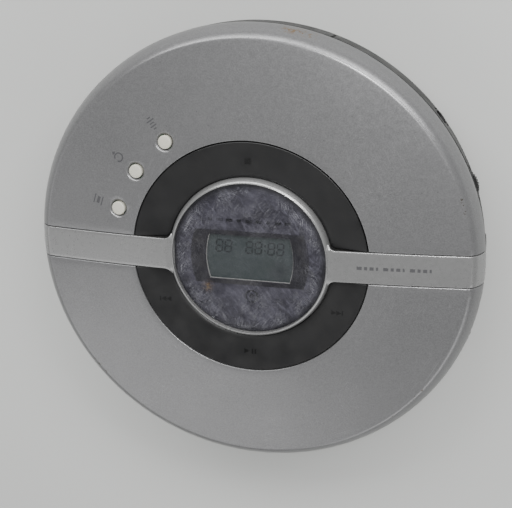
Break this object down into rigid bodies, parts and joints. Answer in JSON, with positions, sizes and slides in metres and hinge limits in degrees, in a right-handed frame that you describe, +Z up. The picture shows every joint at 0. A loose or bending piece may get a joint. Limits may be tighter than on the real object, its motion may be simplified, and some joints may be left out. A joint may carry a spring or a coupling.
{
  "type": "portable disc player",
  "caption": "Round portable disc player with a domed silver lid, crossing band, ring-shaped keys round a small display window, and a black base.",
  "frame": {"origin": "centre of the underside's bounding box, on the surface that the four feet stand on", "axes": "+Z up through the lid, +Y to the rear where the lid is hinged, +X to the right, with the controls and jacks"},
  "size_m": [0.1398, 0.1405, 0.0279],
  "materials": {
    "lid_silver": "satin silver paint, fine sparkle, light wear",
    "band_silver": "smooth bright silver, satin",
    "base_black": "fine-textured black moulding",
    "deck_black": "matt black moulding",
    "key_black": "satin black keys with faint grey symbols",
    "button_cream": "satin cream white",
    "foot_rubber": "matt",
    "spring_steel": "bright steel",
    "board_green": "circuit board with solder mask",
    "chip_black": "moulded black epoxy",
    "window_tint": "dark violet-grey tinted acrylic, hazed with fine scratches",
    "mask_dark": "printed dark mask",
    "lcd_grey": "green-grey liquid-crystal glass",
    "bezel_grey": "pale grey frame",
    "gear_white": "natural white acetal",
    "chassis_zinc": "zinc-plated pressed steel",
    "lens_blue": "coated optical glass"
  },
  "bodies": {
    "base": {"base_shell": "base_black", "deck": "deck_black", "hinge_pin": "spring_steel", "battery_tray": "base_black", "battery_spring_1": "spring_steel", "battery_spring_2": "spring_steel", "battery_bridge": "spring_steel", "main_board": "board_green", "decoder_chip": "chip_black", "headphone_jack": "base_black", "power_jack": "base_black", "volume_control": "chip_black", "lid_lift_spring": "spring_steel", "mechanism_plate": "chassis_zinc", "guide_rod_1": "spring_steel", "guide_rod_2": "spring_steel", "spindle_motor": "chassis_zinc", "sled_motor": "chassis_zinc", "damper_1": "foot_rubber", "damper_2": "foot_rubber", "damper_3": "foot_rubber", "base_screw_1": "spring_steel", "base_screw_2": "spring_steel", "base_screw_3": "spring_steel", "foot_1": "foot_rubber", "foot_2": "foot_rubber", "foot_3": "foot_rubber", "foot_4": "foot_rubber"},
    "lid": {"lid_shell": "lid_silver", "lid_band": "band_silver", "hinge_bracket": "base_black", "window_lens": "window_tint", "window_mask": "mask_dark", "lcd_frame": "bezel_grey", "lcd_panel": "lcd_grey", "lid_board": "board_green", "switch_sheet": "foot_rubber", "lid_inner_panel": "deck_black", "lid_catch": "base_black"},
    "stop_key": {"stop_key": "key_black"},
    "key_yoke": {"key_yoke": "gear_white"},
    "transport_key": {"transport_key": "key_black"},
    "sound_button": {"sound_button": "button_cream"},
    "mode_button": {"mode_button": "button_cream"},
    "display_button": {"display_button": "button_cream"},
    "open_slider": {"open_slider": "base_black"},
    "battery_door": {"battery_door": "base_black"},
    "volume_wheel": {"volume_wheel": "base_black"},
    "hold_knob": {"hold_knob": "base_black"},
    "turntable": {"turntable": "deck_black", "turntable_pad": "foot_rubber", "hub_boss": "gear_white"},
    "chuck_jaw_1": {"chuck_jaw_1": "gear_white"},
    "chuck_jaw_2": {"chuck_jaw_2": "gear_white"},
    "chuck_jaw_3": {"chuck_jaw_3": "gear_white"},
    "sled": {"sled": "deck_black"},
    "lens": {"lens_holder": "deck_black", "objective_lens": "lens_blue"},
    "idler_gear": {"idler_gear": "gear_white"},
    "motor_pinion": {"motor_pinion": "gear_white"}
  },
  "joints": [
    {"name": "lid_hinge", "type": "hinge", "parent": "base", "child": "lid", "pos_m": [0, 0.0652, 0.0146], "axis": [-1, 0, 0], "range_deg": [0, 75]},
    {"name": "open_slide", "type": "slide", "parent": "base", "child": "open_slider", "axis": [1, 0, 0], "range_m": [0, 0.003], "stiffness_N_per_m": 120},
    {"name": "stop_press", "type": "slide", "parent": "lid", "child": "stop_key", "axis": [0, 0, -1], "range_m": [0, 0.00035], "stiffness_N_per_m": 800},
    {"name": "play_press", "type": "hinge", "parent": "lid", "child": "key_yoke", "pos_m": [0, -0.004, 0.0244], "axis": [1, 0, 0], "range_deg": [0, 0.75], "stiffness_Nm_per_rad": 0.6},
    {"name": "skip_rock", "type": "hinge", "parent": "key_yoke", "child": "transport_key", "pos_m": [0, -0.02, 0.0244], "axis": [0, 1, 0], "range_deg": [-0.75, 0.75], "stiffness_Nm_per_rad": 0.6},
    {"name": "sound_press", "type": "slide", "parent": "lid", "child": "sound_button", "axis": [0, 0, -1], "range_m": [0, 0.00035], "stiffness_N_per_m": 300},
    {"name": "mode_press", "type": "slide", "parent": "lid", "child": "mode_button", "axis": [0, 0, -1], "range_m": [0, 0.00035], "stiffness_N_per_m": 300},
    {"name": "display_press", "type": "slide", "parent": "lid", "child": "display_button", "axis": [0, 0, -1], "range_m": [0, 0.00035], "stiffness_N_per_m": 300},
    {"name": "battery_door_hinge", "type": "hinge", "parent": "base", "child": "battery_door", "pos_m": [-0.0516, 0, 0.00155], "axis": [0, 1, 0], "range_deg": [0, 100]},
    {"name": "volume_turn", "type": "hinge", "parent": "base", "child": "volume_wheel", "pos_m": [0.05948, 0.02165, 0.0113], "axis": [0, 0, 1], "range_deg": [-135, 135]},
    {"name": "hold_slide", "type": "slide", "parent": "base", "child": "hold_knob", "axis": [0.3746, 0.9272, 0], "range_m": [0, 0.003]},
    {"name": "disc_spin", "type": "hinge", "parent": "base", "child": "turntable", "pos_m": [0, 0, 0.018], "axis": [0, 0, 1], "continuous": true},
    {"name": "jaw_1_slide", "type": "slide", "parent": "turntable", "child": "chuck_jaw_1", "axis": [0, -1, 0], "range_m": [0, 0.0006], "stiffness_N_per_m": 200},
    {"name": "jaw_2_slide", "type": "slide", "parent": "turntable", "child": "chuck_jaw_2", "axis": [0.866, 0.5, 0], "range_m": [0, 0.0006], "stiffness_N_per_m": 200},
    {"name": "jaw_3_slide", "type": "slide", "parent": "turntable", "child": "chuck_jaw_3", "axis": [-0.866, 0.5, 0], "range_m": [0, 0.0006], "stiffness_N_per_m": 200},
    {"name": "sled_slide", "type": "slide", "parent": "base", "child": "sled", "axis": [0, -1, 0], "range_m": [0, 0.034]},
    {"name": "lens_focus", "type": "slide", "parent": "sled", "child": "lens", "axis": [0, 0, 1], "range_m": [-0.0004, 0.0004], "stiffness_N_per_m": 100},
    {"name": "idler_turn", "type": "hinge", "parent": "base", "child": "idler_gear", "pos_m": [0.0182, -0.027, 0.009], "axis": [0, 0, 1], "range_deg": [-1, 651]},
    {"name": "motor_turn", "type": "hinge", "parent": "base", "child": "motor_pinion", "pos_m": [0.025, -0.0321, 0.007], "axis": [0, 0, 1], "range_deg": [-1561, 1]}
  ],
  "couplings": [
    {"joint": "idler_turn", "follows": "sled_slide", "rad_per_m": 333.33},
    {"joint": "motor_turn", "follows": "sled_slide", "rad_per_m": -800}
  ]
}
